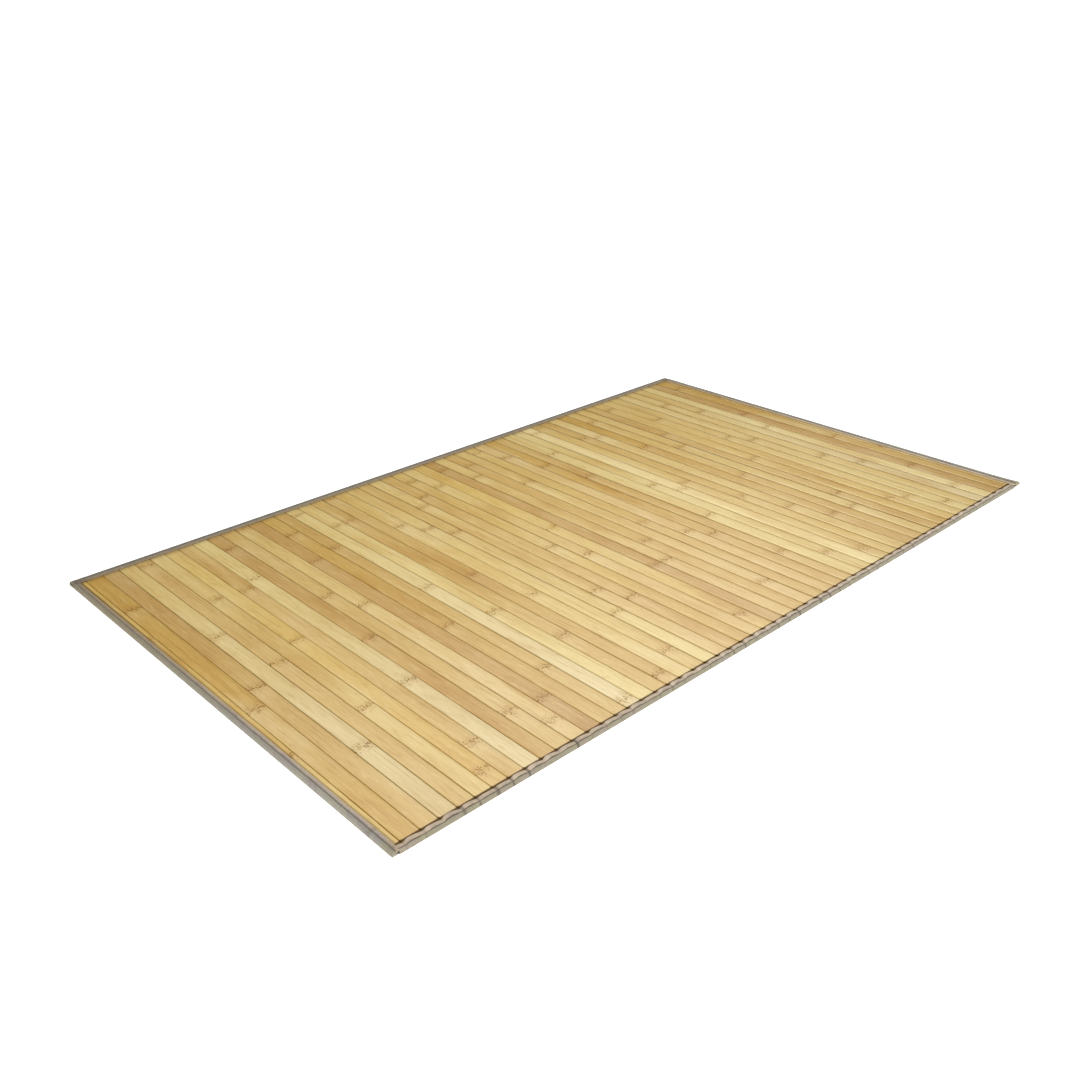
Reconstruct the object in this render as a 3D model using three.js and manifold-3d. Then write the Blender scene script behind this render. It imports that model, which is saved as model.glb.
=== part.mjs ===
// A flat bamboo floor mat: split-bamboo slats lying side by side on a ground cloth, with a woven
// tape folded round each of the four sides and stitched down. Millimetres, +Z up. The origin is
// under the middle of the mat, +X runs along its long side and +Y along the slats.
import * as THREE from "three";
import { mergeVertices } from "three/addons/utils/BufferGeometryUtils.js";
import Module from "manifold-3d";

// The whole mat
const LENGTH = 986;
const WIDTH = 600;
const GAP = 0.3;

// The slats
const SLAT_COUNT = 55;
const SLAT_PITCH = 17.97;
const JOINT_GAP = 0.97;
const FIRST_JOINT = 14.45;
const RIPPED_SLAT_START = 1.6;
const SLAT_END = 1.6;
const SLAT_THICK = 2.8;
const SLAT_CROWN = 0.08;
const SLAT_EDGE = 0.75;

// The slats are not all equally wide. One figure a joint says how far it lies past its even place:
// 3 is none, and each figure above or below it is half a millimetre.
const JOINT_PLACES = "2568887788" + "9999556535" + "5444334233" + "3222031320" + "3335476677" + "8999";

// The ground cloth
const CLOTH_THICK = 1;

// The binding tapes: how far each one laps over the mat's face and under it
const TAPE_THICK = 1.1;
const FRONT_LAP = 4.8;
const BACK_LAP = 12.6;
const LEFT_LAP = 7.4;
const RIGHT_LAP = 12.8;
const UNDER_LAP = 9;

// How far the tape draws in over each joint between slats, and lifts just past it
const EDGE_DRAW = 0.5;
const EDGE_PUFF = 0.35;
const LIFT_DROP = 0.3;
const PUFF_AT = 0.2;

const SLAT_BOTTOM = CLOTH_THICK + GAP;
const SLAT_TOP = SLAT_BOTTOM + SLAT_THICK;
const LAP_BOTTOM = SLAT_TOP + GAP;

const wasm = await Module();
wasm.setup();

const bamboo = new THREE.MeshStandardMaterial({ color: 0xe3cf9c, roughness: 0.5, metalness: 0 });
const groundDark = new THREE.MeshStandardMaterial({ color: 0x54401f, roughness: 0.95, metalness: 0 });
const tapeTaupe = new THREE.MeshStandardMaterial({ color: 0xa9a197, roughness: 0.9, metalness: 0 });

// A repeatable unevenness between -1 and 1 for step i of piece number salt
function uneven(i, salt) {
  const s = Math.sin(i * 12.9898 + salt * 78.233) * 43758.5453;
  return 2 * (s - Math.floor(s)) - 1;
}

// A closed solid from a row of closed outlines with the same number of points each
function skin(outlines) {
  const count = outlines[0].length;
  const positions = outlines.flat(2);
  const faces = [];
  for (let s = 0; s + 1 < outlines.length; s++) {
    for (let k = 0; k < count; k++) {
      const a = s * count + k;
      const b = s * count + ((k + 1) % count);
      faces.push(a, b, b + count, a, b + count, a + count);
    }
  }
  return { positions, faces, count };
}

// Sweeps sections of [inward, up] points. place turns [inward, up] at a station into [x, y, z].
function sweep(stations, sectionAt, place) {
  const outlines = stations.map((s) => sectionAt(s).map(([d, z]) => place(s, d, z)));
  const { positions, faces, count } = skin(outlines);
  const cap = (s) => {
    const flat = sectionAt(stations[s]).map(([d, z]) => new THREE.Vector2(d, z));
    const found = THREE.ShapeUtils.triangulateShape(flat, []).map((t) => t.map((k) => k + s * count));
    return THREE.ShapeUtils.isClockWise(flat) ? found.map((t) => t.reverse()) : found;
  };
  for (const [a, b, c] of cap(0)) faces.push(c, b, a);
  for (const [a, b, c] of cap(stations.length - 1)) faces.push(a, b, c);
  const geometry = new THREE.BufferGeometry();
  geometry.setAttribute("position", new THREE.Float32BufferAttribute(positions, 3));
  geometry.setIndex(faces);
  return outward(geometry);
}

// Turns a closed geometry's faces round where its signed volume is negative
function outward(geometry) {
  const p = geometry.attributes.position;
  const index = Array.from(geometry.index.array);
  const [a, b, c] = [new THREE.Vector3(), new THREE.Vector3(), new THREE.Vector3()];
  let volume = 0;
  for (let i = 0; i < index.length; i += 3) {
    a.fromBufferAttribute(p, index[i]);
    b.fromBufferAttribute(p, index[i + 1]);
    c.fromBufferAttribute(p, index[i + 2]);
    volume += a.dot(b.cross(c));
  }
  if (volume < 0) index.reverse();
  geometry.setIndex(index);
  geometry.computeVertexNormals();
  return geometry;
}

function solidFrom(geometry) {
  const bare = geometry.clone();
  bare.deleteAttribute("normal");
  bare.deleteAttribute("uv");
  const merged = mergeVertices(bare, 1e-4);
  const vertProperties = new Float32Array(merged.attributes.position.array);
  const triVerts = new Uint32Array(merged.index.array);
  return new wasm.Manifold(new wasm.Mesh({ numProp: 3, vertProperties, triVerts }));
}

function geometryFrom(solid) {
  const mesh = solid.getMesh();
  const geometry = new THREE.BufferGeometry();
  geometry.setAttribute("position", new THREE.BufferAttribute(new Float32Array(mesh.vertProperties), 3));
  geometry.setIndex(new THREE.BufferAttribute(new Uint32Array(mesh.triVerts), 1));
  geometry.computeVertexNormals();
  return geometry;
}

const mat = new THREE.Group();
const corner = new THREE.Group();
corner.position.set(-LENGTH / 2, -WIDTH / 2, 0);
mat.add(corner);

function piece(name, geometry, material) {
  const mesh = new THREE.Mesh(geometry, material);
  mesh.name = name;
  corner.add(mesh);
  return mesh;
}

// A slat's section: flat underneath, rounded along its two upper edges and a little crowned
function slatShape(width) {
  const half = width / 2;
  const side = SLAT_THICK - SLAT_CROWN;
  const shape = new THREE.Shape();
  shape.moveTo(-half, 0);
  shape.lineTo(half, 0);
  shape.lineTo(half, side - SLAT_EDGE);
  shape.lineTo(half - 0.3 * SLAT_EDGE, side - 0.3 * SLAT_EDGE);
  shape.lineTo(half - SLAT_EDGE, side);
  shape.lineTo(0, SLAT_THICK);
  shape.lineTo(SLAT_EDGE - half, side);
  shape.lineTo(0.3 * SLAT_EDGE - half, side - 0.3 * SLAT_EDGE);
  shape.lineTo(-half, side - SLAT_EDGE);
  shape.closePath();
  return shape;
}

// Where joint k lies along the mat, from 1 between the first two slats
function jointAt(k) {
  return FIRST_JOINT + (k - 1) * SLAT_PITCH + (Number(JOINT_PLACES[k - 1]) - 3) / 2;
}

for (let n = 1; n <= SLAT_COUNT; n++) {
  const start = n === 1 ? RIPPED_SLAT_START : jointAt(n - 1) + JOINT_GAP / 2;
  const end = n === SLAT_COUNT ? LENGTH - SLAT_END : jointAt(n) - JOINT_GAP / 2;
  const width = end - start;
  const geometry = new THREE.ExtrudeGeometry(slatShape(width), {
    depth: WIDTH - 2 * SLAT_END,
    bevelEnabled: false,
    steps: 1,
  });
  const slat = piece("slat_" + String(n).padStart(2, "0"), geometry, bamboo);
  slat.rotation.x = Math.PI / 2;
  slat.position.set(start + width / 2, WIDTH - SLAT_END, SLAT_BOTTOM);
}

// The ground cloth fills the space between the tapes' under laps
const clothSize = [
  LENGTH - LEFT_LAP - RIGHT_LAP - 2 * GAP,
  WIDTH - 2 * UNDER_LAP - 2 * GAP,
];
const cloth = piece("ground_cloth", new THREE.BoxGeometry(...clothSize, CLOTH_THICK), groundDark);
cloth.position.set(LEFT_LAP + GAP + clothSize[0] / 2, WIDTH / 2, CLOTH_THICK / 2);

// The outer roll of a tape, from under its edge up to its stitched groove
function tapeRoll(groove, drop) {
  return [
    [1.3, 0],
    [0.3, 0.5],
    [0, 1.6],
    [0.1, 3.4],
    [0.7, 4.8],
    [0.5 + 0.4 * groove, 5.05],
    [groove, LAP_BOTTOM + 0.5 - drop / 3],
  ];
}

// A long side's tape: rolled round the slats' ends, with a stitched groove along its face and an
// inner band that draws in over each joint and puffs up just past it
function longTapeSection(lap, grooveAt, lift, draw) {
  const groove = grooveAt + 0.6 * draw;
  const edge = lap + draw;
  const crest = LAP_BOTTOM + 1.1 + lift;
  return [
    ...tapeRoll(groove, 0),
    [groove + 0.2 * (edge - groove), crest - 0.3],
    [groove + 0.5 * (edge - groove), crest],
    [edge - 0.6, crest - 0.15],
    [edge, crest - 0.5],
    [edge, LAP_BOTTOM],
    [TAPE_THICK + 0.4, LAP_BOTTOM],
    [TAPE_THICK, LAP_BOTTOM - 0.4],
    [TAPE_THICK, CLOTH_THICK],
    [UNDER_LAP, CLOTH_THICK],
    [UNDER_LAP, 0],
  ];
}

const tapeStart = LEFT_LAP + GAP;
const tapeEnd = LENGTH - RIGHT_LAP - GAP;

function longTape(name, lap, grooveAt, salt, place) {
  const stations = [{ x: tapeStart, draw: EDGE_PUFF, lift: 0 }];
  for (let n = 1; n < SLAT_COUNT; n++) {
    const joint = jointAt(n);
    const draw = -EDGE_DRAW + 0.15 * uneven(n, salt);
    const puff = EDGE_PUFF + 0.15 * uneven(n, salt + 1);
    const puffAt = joint + PUFF_AT * SLAT_PITCH;
    stations.push({ x: joint, draw, lift: -LIFT_DROP });
    if (puffAt < tapeEnd - 1) stations.push({ x: puffAt, draw: puff, lift: 0 });
  }
  stations.push({ x: tapeEnd, draw: 0, lift: -LIFT_DROP / 2 });
  const sectionAt = (s) => longTapeSection(lap, grooveAt, s.lift, s.draw);
  piece(name, sweep(stations, sectionAt, place), tapeTaupe);
}

longTape("binding_front", FRONT_LAP, 1.5, 1, (s, d, z) => [s.x, d, z]);
longTape("binding_back", BACK_LAP, 5.5, 5, (s, d, z) => [s.x, WIDTH - d, z]);

// A short side's tape runs from corner to corner, and its turned-in ends close the corners
function shortTape(name, lap, grooveAt, place) {
  const crest = LAP_BOTTOM + 0.85;
  const full = [
    ...tapeRoll(grooveAt, 0.3),
    [grooveAt + 0.4, LAP_BOTTOM + 0.7],
    [0.5 * (grooveAt + lap), crest],
    [lap - 0.5, crest - 0.15],
    [lap, crest - 0.5],
    [lap, 0],
  ];
  const pinched = full.map(([d, z]) => [0.5 + (d * (lap - 0.5)) / lap, 0.9 * z]);
  const low = full.map(([d, z]) => [0.2 + (d * (lap - 0.2)) / lap, 0.97 * z]);
  const stations = [
    { y: 0, section: pinched },
    { y: 0.35, section: low },
    { y: 1, section: full },
    { y: WIDTH - 1, section: full },
    { y: WIDTH - 0.35, section: low },
    { y: WIDTH, section: pinched },
  ];
  const bar = sweep(stations, (s) => s.section, (s, d, z) => place(s.y, d, z));
  const depth = WIDTH - 2 * TAPE_THICK;
  const height = LAP_BOTTOM - CLOTH_THICK;
  const pocket = new THREE.BoxGeometry(2 * lap, depth, height);
  const [x, y, z] = place(WIDTH / 2, TAPE_THICK + lap, CLOTH_THICK + height / 2);
  pocket.translate(x, y, z);
  const folded = solidFrom(bar).subtract(solidFrom(pocket));
  piece(name, geometryFrom(folded), tapeTaupe);
}

shortTape("binding_left", LEFT_LAP, 3.7, (y, d, z) => [d, y, z]);
shortTape("binding_right", RIGHT_LAP, 7.3, (y, d, z) => [LENGTH - d, y, z]);

export default mat;
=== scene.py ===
# %% [markdown]
# # A bamboo floor mat
# This mat is made of flat strips of split bamboo that lie side by side on a thin ground cloth.
# A woven tape is folded round its rim and stitched down. The solids of every part come from the
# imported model, and this script gives them their fine shape, their finish and their light.

import math

import bmesh
import bpy
from mathutils import Matrix, Vector, noise


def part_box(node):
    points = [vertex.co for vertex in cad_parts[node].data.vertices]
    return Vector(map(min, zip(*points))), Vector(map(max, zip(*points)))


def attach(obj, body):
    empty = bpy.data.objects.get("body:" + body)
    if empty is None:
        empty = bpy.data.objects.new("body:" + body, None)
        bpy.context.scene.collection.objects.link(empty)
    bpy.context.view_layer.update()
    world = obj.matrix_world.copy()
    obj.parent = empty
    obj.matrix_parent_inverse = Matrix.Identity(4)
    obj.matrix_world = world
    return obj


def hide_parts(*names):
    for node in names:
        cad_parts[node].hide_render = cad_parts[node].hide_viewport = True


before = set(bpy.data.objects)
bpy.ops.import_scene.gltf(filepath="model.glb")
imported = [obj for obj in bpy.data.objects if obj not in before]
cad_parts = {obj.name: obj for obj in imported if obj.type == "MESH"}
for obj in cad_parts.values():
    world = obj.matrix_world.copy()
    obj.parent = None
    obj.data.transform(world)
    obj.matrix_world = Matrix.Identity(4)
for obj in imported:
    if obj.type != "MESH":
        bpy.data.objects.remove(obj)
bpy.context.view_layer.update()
MM = 0.001

# %% [markdown]
# ## The camera
# The four sides of the mat fix where the camera stands: its place, where it looks and how long its
# lens is. The three directions of a camera are its right, its up and its back, and together they
# are the columns of its matrix, so no target or constraint is needed.

# %% Stand the camera where the mat's four sides meet the picture
CAMERA_AT = Vector((-0.8542, -0.8670, 0.5972))
CAMERA_TURN = math.radians(47.643)
CAMERA_DOWN = math.radians(26.482)
CAMERA_ROLL = math.radians(1.055)
PICTURE_SIDE = 1078
FOCAL_PIXELS = 1136.65


def camera_axes(turn, down, roll):
    """Right, up and back of a camera that looks along turn from +X, down below the horizon."""
    forward = Vector((math.cos(down) * math.cos(turn), math.cos(down) * math.sin(turn), -math.sin(down)))
    level = Vector((math.sin(turn), -math.cos(turn), 0))
    below = level.cross(forward) * -1
    right = level * math.cos(roll) + below * math.sin(roll)
    return right, right.cross(forward), forward * -1


camera_data = bpy.data.cameras.new("studio_camera")
camera_data.sensor_width = 36
camera_data.lens = FOCAL_PIXELS / PICTURE_SIDE * camera_data.sensor_width
camera_data.clip_start = 0.01
camera_data.clip_end = 200
camera = bpy.data.objects.new("studio_camera", camera_data)
bpy.context.collection.objects.link(camera)
axes = camera_axes(CAMERA_TURN, CAMERA_DOWN, CAMERA_ROLL)
camera.matrix_world = Matrix.Translation(CAMERA_AT) @ Matrix(axes).transposed().to_4x4()
bpy.context.scene.camera = camera
print("lens:", round(camera_data.lens, 2), "mm")

# %% [markdown]
# ## The mat's sizes
# These are the sizes that the solids were made from, in millimetres, counted from the corner
# nearest to the camera. The strips are not all equally wide, so one figure a joint says how far it
# lies past its even place: 3 is none, and each figure above or below it is half a millimetre.

# %% Name the sizes
LENGTH = 986
WIDTH = 600
SLAT_COUNT = 55
SLAT_PITCH = 17.97
FIRST_JOINT = 14.45
EVEN_PLACE = 3
SLAT_END = 1.6
SLAT_BOTTOM = 1.3
SLAT_TOP = 4.1
UNDER_LAP = 9
LAPS = {"front": 4.8, "back": 12.6, "left": 7.4, "right": 12.8}
CORNER = Vector((-LENGTH / 2, -WIDTH / 2, 0))
JOINT_PLACES = "2568887788" "9999556535" "5444334233" "3222031320" "3335476677" "8999"
JOINT_SHIFTS = [(int(place) - EVEN_PLACE) / 2 for place in JOINT_PLACES]
JOINTS = [FIRST_JOINT + k * SLAT_PITCH + shift for k, shift in enumerate(JOINT_SHIFTS)]
BEND_MOST = 1.2
BEND_MIDDLE = 520
BEND_SPREAD = 170
BEND_RUN = 90
BEND_STARTS = 12
BEND_ENDS = 30


def placed(x, y, z):
    """A point counted from the near corner in millimetres, as a point of the model in metres."""
    return (CORNER + Vector((x, y, z))) * MM


def bend(x):
    """How far the strips near x bend to the right at their front ends, in millimetres."""
    lean = max(-1, min(1, (x - BEND_MIDDLE) / BEND_SPREAD, (LENGTH - x) / BEND_ENDS))
    return BEND_MOST * lean * min(1, abs(x) / BEND_STARTS)


def wander(at, salt, reach=1.0):
    """A soft unevenness between about -reach and reach that depends only on its place and its salt."""
    return reach * noise.noise(Vector((at, salt * 7.31, 0.5)))


# %% [markdown]
# ## Shader sums as plain Python
# A node tree is hard to read as a list of links. A small class wraps an output socket, so that
# `1 - mask * 0.3` adds its Math nodes by itself. Any other node comes from one method, which sets
# the node's own settings first and then its inputs.

# %% Wrap sockets and materials
class Wire:
    """An output socket that can be used in sums."""

    def __init__(self, finish, socket):
        self.finish = finish
        self.socket = socket

    def sum(self, operation, *values):
        return self.finish.node("ShaderNodeMath", {"operation": operation}, dict(enumerate(values)))

    def __add__(self, other):
        return self.sum("ADD", self, other)

    def __radd__(self, other):
        return self.sum("ADD", other, self)

    def __sub__(self, other):
        return self.sum("SUBTRACT", self, other)

    def __rsub__(self, other):
        return self.sum("SUBTRACT", other, self)

    def __mul__(self, other):
        return self.sum("MULTIPLY", self, other)

    def __truediv__(self, other):
        return self.sum("DIVIDE", self, other)

    def other(self, name):
        """Another output of the node that this value comes from."""
        return Wire(self.finish, self.socket.node.outputs[name])

    def bell(self, width):
        """1 where the value is 0, falling softly to 0 past the width."""
        scaled = self / width
        return self.sum("EXPONENT", scaled * scaled * -1)

    def rise(self, low, high):
        """0 below low, 1 above high, and a soft climb between them."""
        inputs = {"Value": self, "From Min": low, "From Max": high}
        return self.finish.node("ShaderNodeMapRange", {"interpolation_type": "SMOOTHSTEP"}, inputs)


class Finish:
    """A material with a Principled shader, built up node by node."""

    def __init__(self, name):
        self.material = bpy.data.materials.new(name)
        self.material.use_nodes = True
        self.tree = self.material.node_tree
        self.shader = self.tree.nodes["Principled BSDF"]

    def node(self, kind, settings=None, inputs=None, output=0):
        made = self.tree.nodes.new(kind)
        for key, value in (settings or {}).items():
            setattr(made, key, value)
        for key, value in (inputs or {}).items():
            self.feed(made.inputs[key], value)
        return Wire(self, made.outputs[output])

    def feed(self, socket, value):
        if isinstance(value, Wire):
            self.tree.links.new(value.socket, socket)
        else:
            socket.default_value = value

    def place(self):
        """The X, Y and Z of a point of the model, in metres."""
        at = self.node("ShaderNodeTexCoord", output="Object")
        return [self.node("ShaderNodeSeparateXYZ", None, {0: at}, axis) for axis in "XYZ"]

    def own(self, name, output="Fac"):
        """A value that the piece's own mesh carries."""
        return self.node("ShaderNodeAttribute", {"attribute_name": name}, output=output)

    def point(self, x, y, z):
        """A point to read a pattern at, whose axes are already scaled."""
        return self.node("ShaderNodeCombineXYZ", None, {0: x, 1: y, 2: z})

    def cloud(self, x, y, z, detail=2.0, roughness=0.5):
        """Noise around 0.5 at a point."""
        inputs = {"Vector": self.point(x, y, z), "Scale": 1.0, "Detail": detail, "Roughness": roughness}
        return self.node("ShaderNodeTexNoise", None, inputs)

    def blend(self, amount, under, over, how="MIX"):
        """Two colours laid over each other by amount."""
        settings = {"data_type": "RGBA", "blend_type": how, "clamp_factor": True}
        return self.node("ShaderNodeMix", settings, {0: amount, 6: under, 7: over}, 2)

    def raised(self, height, depth, strength=1.0):
        """A surface normal for a height from 0 to 1 that stands up to depth metres."""
        return self.node("ShaderNodeBump", None, {"Strength": strength, "Distance": depth, "Height": height})

    def set(self, **values):
        for key, value in values.items():
            self.feed(self.shader.inputs[key.replace("_", " ")], value)


def paint(red, green, blue):
    """A colour as it is seen on a screen, from 0 to 255, as the light that it stands for."""
    def light(v):
        v = v / 255
        return v / 12.92 if v < 0.04045 else ((v + 0.055) / 1.055) ** 2.4
    return (light(red), light(green), light(blue), 1.0)


# %% [markdown]
# ## The finish of split bamboo
# Split bamboo has straight fibres along the strip, no rings and no knots. What marks it is the
# node, where the cane had its partitions: a short speckled band across the strip, with a paler
# zone beside it. Each strip has a tone of its own, because the strips come from different canes.
# So the tone, the places of the marks and a number to shuffle the noise are carried by each
# strip's mesh, and one material serves them all. The sides of the strips are painted darker, as
# painted shade in the narrow joints, which is what draws the dark lines between them. Towards the far
# right the eye meets the joints too flatly to see those sides, so there the strips' upper edges carry
# some of the dark line as painted shade. Beside the tape hems the strips get painted shade as well.

# %% Read the node marks
NODE_BAND = 0.0072
NODE_LINE = 0.0009
NODE_PALE = 0.030
PITS_ACROSS = 410
PITS_ALONG = 340


def node_marks(f, x, y, shuffle):
    """Where a strip is speckled, crossed by a fine line, and paler in front of that line."""
    marks = f.own("marks", "Vector")
    wobble = (f.cloud(x * 170, shuffle * 31, 0.0, 2.0) - 0.5) * 0.010
    band = 0.0
    line = 0.0
    pale = 0.0
    for axis in "XYZ":
        off = y - f.node("ShaderNodeSeparateXYZ", None, {0: marks}, axis) + wobble
        band = off.bell(NODE_BAND) + band
        line = off.bell(NODE_LINE) + line
        pale = (off * -1).rise(-0.001, 0.004) * off.bell(NODE_PALE) + pale
    cells = {"Vector": f.point(x * PITS_ACROSS + shuffle * 31, y * PITS_ALONG, 0.0), "Scale": 1.0}
    cell = f.node("ShaderNodeTexVoronoi", {"voronoi_dimensions": "2D"}, cells, "Distance")
    kept = f.node("ShaderNodeSeparateColor", None, {0: cell.other("Color")})
    pit = (1 - cell.rise(0.22, 0.46)) * kept.rise(0.2, 0.4)
    ragged = f.cloud(x * 210, y * 150, shuffle * 5, 2.0, 0.7).rise(0.34, 0.56)
    return band, band * pit * ragged, line * ragged, pale


# %% Darken the strips where they meet each other and the tapes
def painted_edge_shade(f, x, y):
    """How much painted shade a strip gets beside the hems and, at the far right, on its arrises; and where
    the arrises are.
    """
    half_long = LENGTH * MM / 2
    half_wide = WIDTH * MM / 2
    across = f.own("across")
    corner = (across * across).rise(0.6, 1.0) * 0.0009
    # Painted shade: a dark line on the strips just inside each tape's hem, wider near the joints.
    front = (y + half_wide - corner).rise(0.0087, 0.0075) * 0.88
    back = (half_wide - y).rise(0.022, 0.0105) * 0.3
    left = (x + half_long).rise(0.0102, 0.0088) * (0.45 + y.rise(0.0, 0.25) * 0.3)
    right = (half_long - x).rise(0.0140, 0.0125) * 0.3
    # Painted shade: the arrises darken towards the far right, where the joints are seen flatly.
    flat_seen = (x * 0.9 + y * 0.5 + 0.35).rise(-0.25, 0.8)
    arris = across.sum("ABSOLUTE", across).rise(0.935, 0.97)
    beside = front.sum("MAXIMUM", front.sum("MAXIMUM", front, back), left.sum("MAXIMUM", left, right))
    return beside + arris * flat_seen * 0.66, arris


# %% Mix the bamboo
def strip_grain(f, toned, x, y, shuffle):
    """The strip's tone with its soft zones, streaks, fibres and flecks; and the fibres and the streaks."""
    zone = f.cloud(x * 26, y * 5.5, shuffle * 9, 2.0, 0.55)
    streak = f.cloud(x * 330, y * 6, shuffle * 17, 3.0, 0.6)
    fibre = f.cloud(x * 2600, y * 60, shuffle * 40, 2.0, 0.65)
    thread = f.cloud(x * 560, y * 12, shuffle * 23, 2.0, 0.5)
    fleck = f.cloud(x * 300, y * 42, shuffle * 29, 3.0, 0.7)
    toned = f.blend(zone.rise(0.46, 0.8) * 0.9, toned, paint(230, 213, 178), "MULTIPLY")
    toned = f.blend(zone.rise(0.48, 0.2) * 0.35, toned, paint(240, 224, 178))
    toned = f.blend(streak.rise(0.45, 0.75) * 0.4, toned, paint(238, 228, 206), "MULTIPLY")
    toned = f.blend(fibre.rise(0.40, 0.75) * 0.45, toned, paint(234, 222, 198), "MULTIPLY")
    toned = f.blend(thread.rise(0.52, 0.74) * 0.52, toned, paint(222, 200, 160), "MULTIPLY")
    toned = f.blend(fleck.rise(0.52, 0.72) * 0.6, toned, paint(232, 218, 190), "MULTIPLY")
    toned = f.blend(fleck.rise(0.46, 0.28) * 0.2, toned, paint(244, 226, 178))
    return toned, fibre, streak


def mix_bamboo():
    """Tone, grain, nodes and painted shade at the edges, under a coat that is bare where the shade is
    painted, in the pits and on the arrises.
    """
    f = Finish("split_bamboo")
    x, y, z = f.place()
    shuffle = f.own("shuffle")
    band, pits, line, pale = node_marks(f, x, y, shuffle)
    toned = f.blend(y.rise(-0.24, 0.24), f.own("front_tone", "Color"), f.own("back_tone", "Color"))
    toned, fibre, streak = strip_grain(f, toned, x, y, shuffle)
    toned = f.blend(pale * 0.14, toned, paint(240, 222, 176))
    toned = f.blend(band * 0.6, toned, paint(240, 230, 208), "MULTIPLY")
    toned = f.blend(line * 0.5, toned, paint(146, 106, 56))
    toned = f.blend(pits * 0.75, toned, paint(120, 74, 26))
    edge, arris = painted_edge_shade(f, x, y)
    # Painted shade beside the tape hems and on the far right arrises.
    toned = f.blend(edge, toned, paint(62, 36, 10))
    # Painted shade in the joints: the strips' sides are darker below their top, more so towards the right.
    side = (SLAT_TOP * MM - z).rise(0.00035, 0.0014) * 0.9
    side_tone = f.blend((x + 0.4).rise(0.0, 0.5), paint(150, 112, 56), paint(128, 88, 38))
    toned = f.blend(side, toned, side_tone)
    bare = edge.sum("MAXIMUM", edge.sum("MAXIMUM", edge, side), pits * 0.8)
    bare = bare.sum("MAXIMUM", bare, arris * 0.75)
    relief = fibre * 0.3 + streak * 0.3 + band * 0.2 + pits * -0.5 + line * -0.3
    f.set(Base_Color=toned, Roughness=0.5 + fibre * 0.2, Specular_IOR_Level=0.0)
    f.set(Coat_Weight=1 - bare, Coat_Roughness=0.37, Coat_IOR=1.5)
    f.set(Normal=f.raised(relief, 0.0002, 0.5))
    return f.material


split_bamboo = mix_bamboo()
print("bamboo nodes:", len(split_bamboo.node_tree.nodes))

# %% [markdown]
# ## The tone and the marks of each strip
# The tones are charted one letter a strip from the left end to the right, for the back ends
# and for the front ends. So are the joints, one figure a joint for its width in tenths of a
# millimetre. The node marks are charted the same way: for each strip, how far along it they sit,
# counted from the back in hundredths of its length. No strip has more than three. The marks that a
# strip lacks are put far off the mat, where they show nowhere.

# %% Chart the strips
TONES = {
    "w": (236, 214, 152),
    "v": (228, 208, 156),
    "n": (220, 198, 143),
    "c": (226, 203, 136),
    "l": (221, 194, 125),
    "y": (220, 190, 112),
    "m": (216, 186, 112),
    "g": (214, 179, 99),
    "t": (210, 178, 108),
    "d": (209, 176, 105),
    "p": (216, 185, 119),
    "o": (203, 166, 85),
    "b": (197, 160, 93),
}
BACK_TONES = "goblplypcb" "tlbotccddm" "ldldmlybld" "lmpotccwmd" "lommtmmlll" "lcboo"
FRONT_TONES = "yodntlgtnd" "tpbdtvcddl" "lcppmpmbpd" "pdpdtccwlm" "ltdltmmlcl" "vwbdl"
SEAM_CHART = "3365543334" "5333533433" "6635635634" "7656735356" "6368444677" "6665"
NODE_CHART = {
    1: (30, 74), 2: (18, 60), 3: (55,), 4: (37, 79), 5: (4, 51), 6: (25, 71), 7: (2, 47, 95),
    8: (26, 89), 9: (23, 70), 10: (9, 55), 11: (38, 87), 12: (3, 45, 93), 13: (25, 88), 14: (12, 61),
    15: (23, 82), 16: (5, 48, 97), 17: (15, 63), 18: (15, 77), 19: (3, 50, 96), 20: (24, 63),
    21: (29, 92), 22: (34, 78), 23: (20, 70), 24: (16, 76), 25: (8, 52), 26: (14, 59), 27: (46, 93),
    28: (8, 71), 29: (16, 71), 30: (10, 63), 31: (26, 89), 32: (5, 57), 33: (12, 66), 34: (22, 70),
    35: (33, 84), 36: (18, 64), 37: (2, 46, 90), 38: (6, 52), 39: (4, 50, 94), 40: (16, 63),
    41: (18, 73), 42: (30, 81), 43: (10, 56), 44: (36, 82), 45: (28, 76), 46: (7, 52), 47: (20, 85),
    48: (40, 87), 49: (45, 94), 50: (15, 62), 51: (24, 70), 52: (42, 91), 53: (33, 79), 54: (9, 57),
    55: (21, 68),
}
MOST_MARKS = 3
FAR_AWAY = 9.0
print("tones:", len(BACK_TONES), "joints:", len(SEAM_CHART), "strips with marks:", len(NODE_CHART))

# %% [markdown]
# ## The strips
# Each strip starts as a cube stretched to its size. Cuts across it give it rings: far apart on
# the plain lengths and close together at a node, where the strip is a little thicker. Its long
# edges are then rounded with a bevel, the upper two more than the lower two, and its vertices are
# moved by a fraction of a millimetre, because no split strip is quite straight. A box with a bevel
# modifier would look alike from afar, but its joints would all be the same width.

# %% Split the strips
RING_START = 12
RING_GAP = 22
RING_COUNT = 27
RINGS_AT_NODE = (-9, -5, -2.5, 0, 2.5, 5, 9)
ARRIS_ROUND = 0.75
BACK_ROUND = 0.3
KNUCKLE_RISE = 0.12
KNUCKLE_LONG = 4
SIDE_WAVE = 0.12
TOP_WAVE = 0.07
CUP = 0.08
TILT = 0.12


def strip_span(n):
    """Where strip n starts and ends along the mat, in millimetres."""
    start = SLAT_END if n == 1 else JOINTS[n - 2] + int(SEAM_CHART[n - 2]) / 20
    end = LENGTH - SLAT_END if n == SLAT_COUNT else JOINTS[n - 1] - int(SEAM_CHART[n - 1]) / 20
    return start, end


def strip_marks(n):
    """The places of strip n's nodes, counted from the front in millimetres."""
    return [WIDTH * (1 - share / 100) for share in NODE_CHART[n]]


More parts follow.
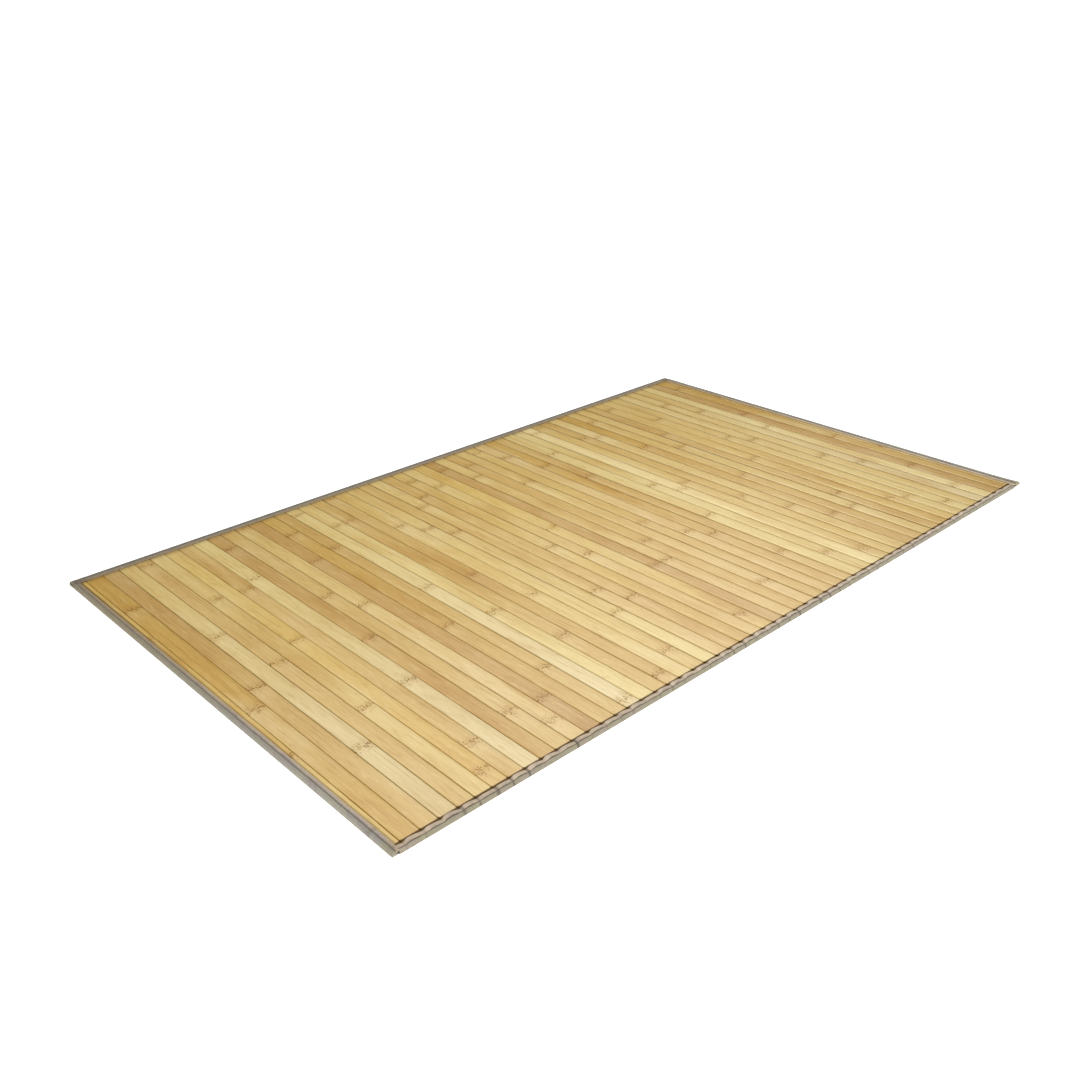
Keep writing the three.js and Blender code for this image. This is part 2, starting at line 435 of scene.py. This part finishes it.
def strip_rings(marks):
    """Where a strip is cut across: every 22 mm, and closer at its nodes."""
    even = [SLAT_END + RING_START + RING_GAP * k for k in range(RING_COUNT)]
    near = [m + step for m in marks for step in RINGS_AT_NODE]
    rings = []
    for at in sorted(even + near):
        if SLAT_END + 1 < at < WIDTH - SLAT_END - 1 and (not rings or at - rings[-1] > 1):
            rings.append(at)
    return rings


def long_edges(bm, start, end, height):
    """The edges that run along the two sides of a strip, at one height."""
    def on_side(v):
        return abs(v.co.z - height) < 0.01 and (v.co.x < start + 0.01 or v.co.x > end - 0.01)

    def runs_along(e):
        return abs(e.verts[0].co.y - e.verts[1].co.y) > 0.5
    return [e for e in bm.edges if all(on_side(v) for v in e.verts) and runs_along(e)]


def cut_strip(start, end, marks):
    """A straight strip from start to end with its rings, its upper and lower long edges rounded."""
    bm = bmesh.new()
    bmesh.ops.create_cube(bm, size=1)
    size = Vector((end - start, WIDTH - 2 * SLAT_END, SLAT_TOP - SLAT_BOTTOM))
    centre = Vector(((start + end) / 2, WIDTH / 2, (SLAT_TOP + SLAT_BOTTOM) / 2))
    bmesh.ops.scale(bm, vec=size, verts=bm.verts)
    bmesh.ops.translate(bm, vec=centre, verts=bm.verts)
    cuts = [((0, at, 0), (0, 1, 0)) for at in strip_rings(marks)]
    cuts += [((start + size.x * share, 0, 0), (1, 0, 0)) for share in (0.25, 0.5, 0.75)]
    for point, normal in cuts:
        whole = bm.verts[:] + bm.edges[:] + bm.faces[:]
        bmesh.ops.bisect_plane(bm, geom=whole, plane_co=point, plane_no=normal)
    upper = long_edges(bm, start, end, SLAT_TOP)
    lower = long_edges(bm, start, end, SLAT_BOTTOM)
    for edges, round_by, steps in ((upper, ARRIS_ROUND, 3), (lower, BACK_ROUND, 1)):
        bmesh.ops.bevel(bm, geom=edges, offset=round_by, segments=steps, affect="EDGES",
                        profile=0.5, material=-1)
    return bm


def make_strip(n):
    """Strip n with its sides a little wavy, thicker at its nodes and bent at its front end."""
    start, end = strip_span(n)
    marks = strip_marks(n)
    bm = cut_strip(start, end, marks)
    share_across = bm.verts.layers.float.new("across")
    for v in bm.verts:
        across = (v.co.x - (start + end) / 2) / ((end - start) / 2)
        v[share_across] = across
        rise = (v.co.z - SLAT_BOTTOM) / (SLAT_TOP - SLAT_BOTTOM)
        knuckle = sum(math.exp(-((v.co.y - m) / KNUCKLE_LONG) ** 2) for m in marks)
        side = wander(v.co.y / 95, n + (0.5 if across > 0 else 0.0), SIDE_WAVE)
        v.co.x += side * min(1, abs(across) * 1.2) + bend(v.co.x) * math.exp(-v.co.y / BEND_RUN)
        lift = KNUCKLE_RISE * knuckle + wander(v.co.y / 120, n + 90, TOP_WAVE) - CUP * across * across
        v.co.z += rise * (lift + wander(n * 5.3, 7, TILT) * across)
    return finish_piece(bm, f"bamboo_strip_{n:02d}", split_bamboo, 40)


def lay_down(bm, name, material):
    """Turns a bmesh in millimetres into a smooth object of the model."""
    for v in bm.verts:
        v.co = placed(*v.co)
    mesh = bpy.data.meshes.new(name)
    for face in bm.faces:
        face.smooth = True
    bm.to_mesh(mesh)
    bm.free()
    mesh.materials.append(material)
    piece = bpy.data.objects.new(name, mesh)
    bpy.context.collection.objects.link(piece)
    return piece


def finish_piece(bm, name, material, sharp_at):
    """Lays a closed piece down with its faces outward and its edges sharp from an angle in degrees."""
    bmesh.ops.recalc_face_normals(bm, faces=bm.faces)
    piece = lay_down(bm, name, material)
    piece.data.set_sharp_from_angle(angle=math.radians(sharp_at))
    return piece


def carry(mesh, name, kind, value):
    """Gives every vertex of a mesh the same value under a name that a material can read."""
    layer = mesh.attributes.new(name, kind, "POINT")
    key = {"FLOAT": "value", "FLOAT_VECTOR": "vector", "FLOAT_COLOR": "color"}[kind]
    for entry in layer.data:
        setattr(entry, key, value)


def dress_strip(piece, n):
    """Writes the strip's tones, its marks and its number for the noise into its mesh."""
    marks = [(CORNER.y + m) * MM for m in strip_marks(n)]
    marks += [FAR_AWAY] * (MOST_MARKS - len(marks))
    carry(piece.data, "back_tone", "FLOAT_COLOR", paint(*TONES[BACK_TONES[n - 1]]))
    carry(piece.data, "front_tone", "FLOAT_COLOR", paint(*TONES[FRONT_TONES[n - 1]]))
    carry(piece.data, "marks", "FLOAT_VECTOR", marks)
    carry(piece.data, "shuffle", "FLOAT", 0.37 * n % 1 + n / 10)


for n in range(1, SLAT_COUNT + 1):
    strip = make_strip(n)
    dress_strip(strip, n)
    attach(strip, "root")
    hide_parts(f"slat_{n:02d}")
print("strips made:", n, "faces in the last one:", len(strip.data.polygons))

# %% [markdown]
# ## The ground cloth
# The strips are fixed on one thin dark cloth. From above only a thread of it shows in each joint,
# and from below it is the whole face, so it gets a plain weave: rows of warp and weft that pass
# over each other in turn. The height of the weave is worked out from two rows of waves and a
# chequer that says which of them is on top. A large even number is added to the count of squares,
# so that it stays above 0 on the whole mat.

# %% Weave and lay the ground cloth
GROUND_THREADS = 620
GROUND_THICK = 0.85
GROUND_TOP = 0.95
GROUND_START = 0.9
GROUND_SQUARES = (108, 64)
EVEN_COUNT = 20000


def weave(f, u, v, threads):
    """The height of a plain weave with so many threads to a metre, read along u and v."""
    a = u * threads
    b = v * threads
    warp = a.sum("SINE", a * math.pi)
    weft = b.sum("SINE", b * math.pi)
    square = a.sum("FLOOR", a) + b.sum("FLOOR", b) + EVEN_COUNT
    chequer = square.sum("MODULO", square, 2.0)
    return warp * warp * (0.35 + chequer * 0.65) + weft * weft * (1 - chequer * 0.65)


def mix_ground():
    """A dark brown plain weave."""
    f = Finish("ground_weave")
    x, y, _ = f.place()
    height = weave(f, x, y, GROUND_THREADS)
    patch = f.cloud(x * 30, y * 30, 3.0, 3.0)
    # Painted shade between the threads: the weave is darker where it lies low.
    yarn = f.blend(height.rise(0.1, 1.2) * 0.6, paint(60, 44, 28), paint(104, 82, 56))
    f.set(Base_Color=f.blend(patch * 0.4, yarn, paint(52, 38, 24)), Roughness=0.95)
    f.set(Normal=f.raised(height, 0.0003, 0.8))
    return f.material


ground_weave = mix_ground()
low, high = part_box("ground_cloth")
cloth_size = (high - low) / MM
cloth_middle = Vector(((low.x + high.x) / 2 / MM - CORNER.x, WIDTH / 2, GROUND_START))
bm = bmesh.new()
bmesh.ops.create_grid(bm, x_segments=GROUND_SQUARES[0], y_segments=GROUND_SQUARES[1], size=0.5)
bmesh.ops.scale(bm, vec=(cloth_size.x, cloth_size.y, 1), verts=bm.verts)
bmesh.ops.translate(bm, vec=cloth_middle, verts=bm.verts)
bmesh.ops.solidify(bm, geom=bm.faces[:] + bm.edges[:] + bm.verts[:], thickness=GROUND_THICK)
bm.normal_update()
top = max(v.co.z for v in bm.verts)
for v in bm.verts:
    v.co.z += GROUND_TOP - top + 0.05 * noise.noise(v.co / 40)
ground = finish_piece(bm, "ground_sheet", ground_weave, 50)
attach(ground, "root")
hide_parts("ground_cloth")
print("ground cloth:", [round(v, 1) for v in cloth_size])

# %% [markdown]
# ## The finish of the binding tape
# The tape is taupe cotton in a plain weave, finer than the ground cloth's. Its weave must follow
# the cloth round the fold, so it is read from the tape's own map, in which u runs along the tape
# and v across it, both in metres. It is painted a little lighter on the crests, as a painted
# highlight, and darker in the groove that the stitches pull down, as painted shade. It is painted
# browner along the back and at the far ends of the two short sides, and paler at their near ends,
# as painted light and shade.

# %% Mix the tape
TAPE_THREADS = 1150


def light_and_shade_by_side(f, yarn, y, on_left, on_right, inner):
    """The yarn's colour with painted light and shade by side of the mat: paler towards the front, browner
    and darker towards the back and on the back tape.
    """
    yarn = f.blend(on_left * y.rise(-0.6, 0.3) * inner, yarn, paint(204, 198, 178), "MULTIPLY")
    yarn = f.blend(on_left * y.rise(-0.12, 0.24), yarn, paint(236, 226, 194), "MULTIPLY")
    on_front = (y * -1).rise(0.284, 0.288)
    on_back = y.rise(0.284, 0.288)
    yarn = f.blend(on_front, yarn, paint(255, 251, 234), "MULTIPLY")
    yarn = f.blend(y.rise(-0.3, 0.3), yarn, paint(242, 236, 216), "MULTIPLY")
    yarn = f.blend(on_back, yarn, paint(211, 205, 184), "MULTIPLY")
    yarn = f.blend(on_back * inner, yarn, paint(206, 200, 168), "MULTIPLY")
    yarn = f.blend(on_right, yarn, paint(252, 248, 230), "MULTIPLY")
    yarn = f.blend(on_right * y.rise(-0.2, 0.3), yarn, paint(236, 228, 206), "MULTIPLY")
    return yarn


def mix_tape():
    """Taupe yarn, patchy and crinkled, with a painted highlight on the inner band's crest and painted shade
    in groove and folds.
    """
    f = Finish("taupe_tape")
    x, y, _ = f.place()
    on_left = (x * -1).rise(0.470, 0.484)
    on_right = x.rise(0.476, 0.480)
    uv = f.node("ShaderNodeUVMap", {"uv_map": "cut_strip"})
    u, v = [f.node("ShaderNodeSeparateXYZ", None, {0: uv}, axis) for axis in "XY"]
    height = weave(f, u, v, TAPE_THREADS)
    patch = f.cloud(u * 60, v * 110, 1.0, 3.0, 0.6)
    crinkle = f.cloud(u * 380, v * 260, 4.0, 3.0, 0.7)
    slub = f.cloud(u * 1500, v * 120, 2.0, 2.0)
    painted_light = f.own("painted_light")
    inner = f.own("inner")
    crease = f.own("crease")
    yarn = f.blend(inner, paint(140, 137, 120), paint(198, 179, 160))
    # Painted light: the outer band of the short tapes is paler and greyer towards their near ends.
    near_end = (on_left + on_right) * (y * -1).rise(0.05, 0.25) * (1 - inner)
    yarn = f.blend(near_end, yarn, paint(165, 160, 140))
    yarn = f.blend(patch.rise(0.46, 0.60) * 0.7, yarn, paint(150, 138, 136))
    yarn = f.blend(patch.rise(0.44, 0.30) * 0.6, yarn, paint(164, 164, 140))
    yarn = f.blend(crinkle.rise(0.50, 0.75) * 0.5, yarn, paint(104, 94, 82))
    # Painted light on the weave: the thread crowns are lighter, the hollows between them darker.
    yarn = f.blend(height.rise(0.1, 1.1) * 0.2, yarn, paint(196, 186, 172))
    yarn = f.blend(slub.rise(0.5, 0.8) * 0.25, yarn, paint(178, 166, 152))
    # Painted highlight on the inner band's crest, and painted shade in the groove and under the hem.
    yarn = f.blend(painted_light.rise(0.6, 1.0) * 0.5 * inner, yarn, paint(216, 196, 178))
    yarn = f.blend(painted_light.rise(0.45, 0.0) * 0.95, yarn, paint(56, 44, 30))
    # Painted shade in the folds over the joints and in the short tapes' creases, and a painted highlight on
    # the puffs just past the joints.
    yarn = f.blend(crease.rise(0.0, 1.0) * 0.85, yarn, paint(74, 64, 50))
    yarn = f.blend((crease * -1).rise(0.0, 0.6) * inner * 0.6, yarn, paint(228, 209, 198))
    # Painted light and shade by side: paler towards the front, darker towards the back.
    yarn = light_and_shade_by_side(f, yarn, y, on_left, on_right, inner)
    f.set(Base_Color=yarn, Roughness=0.88 + slub * 0.1, Sheen_Weight=0.25, Sheen_Roughness=0.5)
    f.set(Normal=f.raised(height + slub * 0.4, 0.00025, 0.7))
    return f.material


taupe_tape = mix_tape()
print("tape nodes:", len(taupe_tape.node_tree.nodes))

# %% [markdown]
# ## Folding the tapes
# A maker cuts a straight strip of tape and folds it round the edge. The same is done here: a flat
# grid is the cut strip, and each of its rows is laid on a section that starts under the mat, goes
# round the edge as a soft roll, dips into the stitched groove, swells into an inner band and turns
# its raw edge under. Solidify then gives the cloth its thickness, and one level of subdivision
# rounds it. Over each joint between two strips the band draws in, and just past it the band puffs.

# %% Draw the section of a tape
CLOTH_THICK = 0.5
BAND_RISE = 1.1
GROOVE_FOLLOWS = 0.75
GROOVE_POINT = 13
DRAW_SHAPE = ((0.0, -0.4), (0.08, 0.2), (0.2, 1.15), (0.4, 1.25), (0.65, 0.9), (0.88, 0.2), (1.0, -0.4))
DIP_SHAPE = ((0.0, -0.5), (0.1, -0.1), (0.25, 0.1), (0.6, 0.04), (0.9, -0.16), (1.0, -0.5))


def along_shape(shape, t):
    """The height of a shape of (place, height) corners at place t."""
    for (a, low), (b, high) in zip(shape, shape[1:]):
        if t <= b:
            return low + (high - low) * (t - a) / (b - a)
    return shape[-1][1]


def tape_section(lap, groove_at, groove_up, bulge, draw, dip):
    """The outer face of a folded tape as (inward, up, light level) points, from under the mat to the hem; a
    high light level paints a highlight and a low one paints shade.
    """
    groove = max(0.3, groove_at + GROOVE_FOLLOWS * draw)
    edge = lap + draw
    crest = SLAT_TOP + BAND_RISE + dip
    band = edge - groove
    return [
        (UNDER_LAP, 0.02, 0.5),
        (UNDER_LAP * 0.75, 0.02, 0.5),
        (UNDER_LAP * 0.45, 0.02, 0.5),
        (2.4, 0.02, 0.5),
        (1.1, 0.02, 0.5),
        (0.1 - bulge, 0.06, 0.5),
        (-0.1 - bulge, 0.6, 0.5),
        (-0.1 - 0.8 * bulge, 1.8, 0.55),
        (-0.02 - 0.4 * bulge, 2.8, 0.6),
        (0.07 * groove, groove_up - 0.5, 0.7),
        (0.2 * groove, groove_up - 0.15, 0.8),
        (0.4 * groove, groove_up + 0.06, 0.7),
        (0.7 * groove, groove_up + 0.12, 0.22),
        (groove, groove_up - 0.2, 0.0),
        (groove + 0.35, 0.5 * (groove_up + crest), 0.18),
        (groove + 0.25 * band, crest - 0.12, 0.7),
        (groove + 0.55 * band, crest + 0.02, 0.9),
        (edge - 0.7, crest - 0.06, 1.0),
        (edge - 0.15, crest - 0.3, 0.9),
        (edge + 0.02, crest - 0.6, 0.6),
        (edge - 0.15, SLAT_TOP + 0.18, 0.4),
        (edge - 1.2, SLAT_TOP + 0.1, 0.4),
    ]


# %% Fold a strip of tape round an edge
def fold_tape(name, node, length, steps, section_at, place, crease_at):
    """A strip with so many steps along it, laid on its section at each step and set in place."""
    middle = section_at(0.5)
    across = len(middle)
    runs = [0.0]
    for a, b in zip(middle, middle[1:]):
        runs.append(runs[-1] + math.hypot(b[0] - a[0], b[1] - a[1]))
    bm = bmesh.new()
    bmesh.ops.create_grid(bm, x_segments=steps, y_segments=across - 1, size=0.5)
    cut = bm.loops.layers.uv.new("cut_strip")
    painted_light = bm.verts.layers.float.new("painted_light")
    inner = bm.verts.layers.float.new("inner")
    crease = bm.verts.layers.float.new("crease")
    spots = {v: ((v.co.x + 0.5) * length, round((v.co.y + 0.5) * (across - 1))) for v in bm.verts}
    sections = {}
    for v, (s, k) in spots.items():
        if s not in sections:
            sections[s] = section_at(s / length)
        inward, up, light_level = sections[s][k]
        v.co = place(s, inward, up)
        v[painted_light] = light_level
        v[inner] = 1.0 if k > GROOVE_POINT else 0.0
        v[crease] = crease_at(s)
    for face in bm.faces:
        for loop in face.loops:
            s, k = spots[loop.vert]
            loop[cut].uv = (s * MM, runs[k] * MM)
    piece = finish_tape(bm, name)
    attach(piece, "root")
    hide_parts(node)


def finish_tape(bm, name):
    """Points the strip's faces out of the fold, thickens the strip and rounds it."""
    middle = Vector((0, 0, 0))
    for v in bm.verts:
        middle += v.co / len(bm.verts)
    bm.normal_update()
    out = sum(f.normal.dot(f.calc_center_median() - middle) * f.calc_area() for f in bm.faces)
    if out < 0:
        bmesh.ops.reverse_faces(bm, faces=bm.faces)
    piece = lay_down(bm, name, taupe_tape)
    thick = piece.modifiers.new("cloth", "SOLIDIFY")
    thick.thickness = CLOTH_THICK * MM
    thick.offset = -1
    soft = piece.modifiers.new("soft", "SUBSURF")
    soft.levels = 1
    soft.render_levels = 1
    return piece


# %% Fold the two long tapes
# For each tape: how far in its groove lies, how high, and how far its rim swells out.
GROOVES = {
    "front": (0.4, 4.25, 1.0),
    "back": (5.5, 4.93, 0),
    "left": (3.7, 4.93, 0.2),
    "right": (8.3, 4.93, 0),
}
BACK_INSET = 0.3
STEPS_A_STRIP = 8
JOINT_DENT = 0.25
END_DIP = 0.5
TUCKED_IN = 1.2
TAPE_START = LAPS["left"] - TUCKED_IN
TAPE_END = LENGTH - LAPS["right"] + TUCKED_IN
LONG_RUN = TAPE_END - TAPE_START


def joint_share(x, bent):
    """How far x is on its way from one joint to the next, from 0 to 1, and how many joints lie before it."""
    x -= bend(x) * bent
    stops = [JOINTS[0] - SLAT_PITCH, *JOINTS, JOINTS[-1] + SLAT_PITCH]
    k = sum(stop <= x for stop in JOINTS)
    return (x - stops[k]) / (stops[k + 1] - stops[k]), k


def long_section(side, salt, strength):
    """The section of a long tape at any share of its length: the band draws in at every joint."""
    def at(share):
        x = TAPE_START + share * LONG_RUN
        t, k = joint_share(x, strength)
        pull = strength * (1 + wander(k * 1.7, salt, 0.9))
        draw = along_shape(DRAW_SHAPE, t) * pull + wander(x / 60, salt + 1, 0.25)
        tuck = max(0.0, 1 - min(x - TAPE_START, TAPE_END - x) / (2 * TUCKED_IN))
        dip = along_shape(DIP_SHAPE, t) * pull - END_DIP * tuck
        section = tape_section(LAPS[side], *GROOVES[side], draw, dip)
        dent = JOINT_DENT * strength * math.exp(-((min(t, 1 - t) / 0.07) ** 2))
        return [(d + dent * (0.4 < z < 4.2), z, w) for d, z, w in section]
    return at


def long_crease(salt, strength):
    """How much painted shade lies in the folds over the joints, above 0, and how much painted highlight on
    the puffs past them, below 0.
    """
    def at(s):
        t, k = joint_share(TAPE_START + s, strength)
        near = min(t + wander(k * 2.3, salt, 0.1), 1 - t)
        fold = (0.8 + wander(k * 3.1, salt + 2, 0.8)) * math.exp(-((near / 0.06) ** 2))
        shine = (0.35 + wander(k * 2.7, salt + 3, 0.9)) * math.exp(-(((t - 0.22) / 0.15) ** 2))
        return strength * (fold - shine)
    return at


def front_place(s, inward, up):
    return (TAPE_START + s, inward, up)


def back_place(s, inward, up):
    return (TAPE_START + s, WIDTH - BACK_INSET - inward, up)


long_steps = STEPS_A_STRIP * (SLAT_COUNT - 1)
front = long_section("front", 11, 1.0)
back = long_section("back", 23, 0.3)
fold_tape("tape_front", "binding_front", LONG_RUN, long_steps, front, front_place, long_crease(61, 1.0))
fold_tape("tape_back", "binding_back", LONG_RUN, long_steps, back, back_place, long_crease(67, 0.3))

# %% [markdown]
# ## The short tapes
# On the short sides the tape lies along one strip, so it doesn't wave. It runs through to the
# corners, where its ends are tucked in: the section shrinks towards its own middle over the last
# half millimetre, which closes the end as a soft round fold. The right tape's near corner stands
# out from the mat a little, as its near end does.

# %% Fold the two short tapes
END_CLOSES = 0.45
END_CROWD = 0.155
END_SINK = 0.16
END_SINK_RUN = 5
MIDDLE_UP = 2.6
SHORT_STEPS = 240
RIGHT_OUT = 0.9
RIGHT_LEAN = 0.6
FLARE = 4.4
FLARE_RUN = 12


def short_section(side, salt, skew, least_light):
    """The section of a short tape at any share of its length, whose groove's painted shade is lightened to
    at least the given light level.
    """
    middle = LAPS[side] * 0.5
    under = LAPS[side] / UNDER_LAP

    def at(share):
        y = share * WIDTH
        end = min(y, WIDTH - y)
        closed = max(0.0, 1 - end / END_CLOSES) ** 2.2
        shrink = 1 - 0.9 * closed
        flat = 1 - END_SINK * math.exp(-end / END_SINK_RUN)
        pale = max(least_light, 0.6 * math.exp(-end / 1.5))
        draw = wander(y / 35, salt, 0.3) + skew * (0.5 - share)
        dip = wander(y / 22, salt + 1, 0.12) - 0.05
        section = []
        for d, z, w in tape_section(LAPS[side], *GROOVES[side], draw, dip):
            if z < 0.05 and d > 2:
                d *= under
            d = middle + (d - middle) * shrink
            z = flat * (MIDDLE_UP + (z - MIDDLE_UP) * shrink)
            section.append((d, z, max(w, pale)))
        return section
    return at


def short_station(share):
    """Squeezes the even steps of a strip so that more of them lie in its two ends."""
    return share - END_CROWD * math.sin(2 * math.pi * share)


def left_side(y, inward):
    """How far along the mat a point of the left tape lies: the left side is straight."""
    return inward


def right_side(y, inward):
    """The same for the right tape: its near end stands out a little, and its near corner flares."""
    flare = FLARE * math.exp(-y / FLARE_RUN) * (1 - inward / LAPS["right"])
    return LENGTH - inward + RIGHT_OUT + RIGHT_LEAN * (1 - y / WIDTH) + flare


def fold_short(side, section, side_at, salt):
    """Folds the tape of a short side."""
    def section_at(share):
        return section(short_station(share))

    def place(s, inward, up):
        y = short_station(s / WIDTH) * WIDTH
        return (side_at(y, inward), y, up)

    # Painted shade in the tape's creases, here and there along it.
    def crease_at(s):
        return max(0, wander(s / 14, salt, 0.9) - 0.25)
    fold_tape("tape_" + side, "binding_" + side, WIDTH, SHORT_STEPS, section_at, place, crease_at)


left = short_section("left", 31, 0, 0.2)
right = short_section("right", 43, 1.6, 0)
fold_short("left", left, left_side, 71)
fold_short("right", right, right_side, 73)

# %% [markdown]
# ## The lock stitches
# A seam runs down each tape's groove. Each stitch is a small drawn-out ball that dives into the
# cloth at both ends. There are hundreds of them, so each has only a few faces, and one mesh holds
# all the stitches of a side.

# %% Sew the seams
STITCH_PITCH = 4.2
STITCH_LONG = 3.5
STITCH_THICK = 0.5
STITCH_UP = 0.1
SEAM_INSET = 3


def mix_thread():
    """Twisted sewing thread in the tape's own brown."""
    f = Finish("seam_thread")
    x, y, z = f.place()
    ply = f.cloud(x * 2500, y * 2500, z * 2500, 1.0)
    f.set(Base_Color=f.blend(ply, paint(96, 84, 72), paint(134, 122, 108)), Roughness=0.8)
    f.set(Normal=f.raised(ply, 0.0001, 0.5))
    return f.material


seam_thread = mix_thread()


def cut_stitch():
    """One stitch, a drawn-out ball along X."""
    bm = bmesh.new()
    along_x = Matrix.Rotation(math.pi / 2, 4, "Y")
    bmesh.ops.create_uvsphere(bm, u_segments=8, v_segments=6, radius=1, matrix=along_x)
    bmesh.ops.scale(bm, vec=(STITCH_LONG / 2, STITCH_THICK / 2, STITCH_THICK / 2), verts=bm.verts)
    mesh = bpy.data.meshes.new("stitch")
    bm.to_mesh(mesh)
    bm.free()
    return mesh


def sew(name, run, spot):
    """Stitches along a run, each between two spots of the groove."""
    bm = bmesh.new()
    stitch = cut_stitch()
    for k in range(int(run / STITCH_PITCH)):
        s = (k + 0.5) * STITCH_PITCH
        a = Vector(spot(s - STITCH_LONG / 2))
        b = Vector(spot(s + STITCH_LONG / 2))
        laid = stitch.copy()
        turned = (b - a).to_track_quat("X", "Z").to_matrix().to_4x4()
        laid.transform(Matrix.Translation((a + b) / 2) @ turned)
        bm.from_mesh(laid)
        bpy.data.meshes.remove(laid)
    bpy.data.meshes.remove(stitch)
    piece = finish_piece(bm, name, seam_thread, 180)
    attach(piece, "root")
    print(name, "stitches:", int(run / STITCH_PITCH))


def groove_spot(section, share):
    """The bottom of the groove of a section, as (inward, up)."""
    d, z, _ = section(min(max(share, 0.0), 1.0))[GROOVE_POINT]
    return d, z + STITCH_UP


def long_spot(section, place):
    """Where the seam of a long tape lies, by the length of seam before it."""
    def spot(s):
        return place(s, *groove_spot(section, s / LONG_RUN))
    return spot


def short_spot(section, side_at):
    """The same for a short tape, whose seam starts a little way in."""
    def spot(s):
        y = s + SEAM_INSET
        d, z = groove_spot(section, y / WIDTH)
        return (side_at(y, d), y, z)
    return spot


sew("seam_front", LONG_RUN, long_spot(front, front_place))
sew("seam_back", LONG_RUN, long_spot(back, back_place))
sew("seam_left", WIDTH - 2 * SEAM_INSET, short_spot(left, left_side))
sew("seam_right", WIDTH - 2 * SEAM_INSET, short_spot(right, right_side))

# %% [markdown]
# ## Floor and light
# The mat lies on a plain white table that glows a little, as a light table does, so that it shows
# no shadow. The room gives part of the light from all round. A large soft lamp stands far in front
# of the mat and gives most of the rest: it draws a thin shadow behind each crest of the front tape.
# A small one hangs over the middle and makes it a little brighter than the two ends. A third lamp
# only adds gloss: from the camera, the near half of the mat mirrors it, which makes that half paler.

# %% Light the mat
WHITE = (1, 1, 1, 1)
FLOOR_GREY = (0.9, 0.9, 0.9, 1)
FLOOR_GLOW = 0.75
FLOOR_REACH = 60
ROOM_LIGHT = 0.42


def mix_floor():
    """A white that glows."""
    f = Finish("white_floor")
    f.set(Base_Color=FLOOR_GREY, Roughness=1.0, Specular_IOR_Level=0.0)
    f.set(Emission_Color=WHITE, Emission_Strength=FLOOR_GLOW)
    return f.material


bm = bmesh.new()
bmesh.ops.create_grid(bm, x_segments=1, y_segments=1, size=FLOOR_REACH)
floor_mesh = bpy.data.meshes.new("floor")
bm.to_mesh(floor_mesh)
bm.free()
floor_mesh.materials.append(mix_floor())
floor = bpy.data.objects.new("floor", floor_mesh)
bpy.context.collection.objects.link(floor)

world = bpy.data.worlds.new("studio")
bpy.context.scene.world = world
world.use_nodes = True
room = world.node_tree.nodes["Background"]
room.inputs["Color"].default_value = WHITE
room.inputs["Strength"].default_value = ROOM_LIGHT
world.cycles_visibility.glossy = False


def lamp(name, at, towards, size, watts):
    """A soft lamp of a size in metres, so wide and so deep, that stands at one point and faces another."""
    data = bpy.data.lights.new(name, "AREA")
    data.shape = "RECTANGLE"
    data.size, data.size_y = size
    data.energy = watts
    made = bpy.data.objects.new(name, data)
    bpy.context.collection.objects.link(made)
    made.location = at
    made.rotation_euler = (Vector(towards) - Vector(at)).to_track_quat("-Z", "Y").to_euler()
    made.visible_camera = False
    return made


lamp("front_key", (-2.6, -7.2, 4.4), (0, 0, 0), (3.0, 1.8), 436)
lamp("overhead", (0, -0.05, 1.1), (0, -0.05, 0), (0.5, 0.5), 4)
gloss = lamp("gloss_over_the_front", (0.15, 0.28, 0.75), (0.15, 0.28, 0), (2.4, 0.9), 24)
gloss.visible_diffuse = False
bpy.context.scene.view_settings.view_transform = "Standard"
bpy.context.scene.view_settings.exposure = 0.0
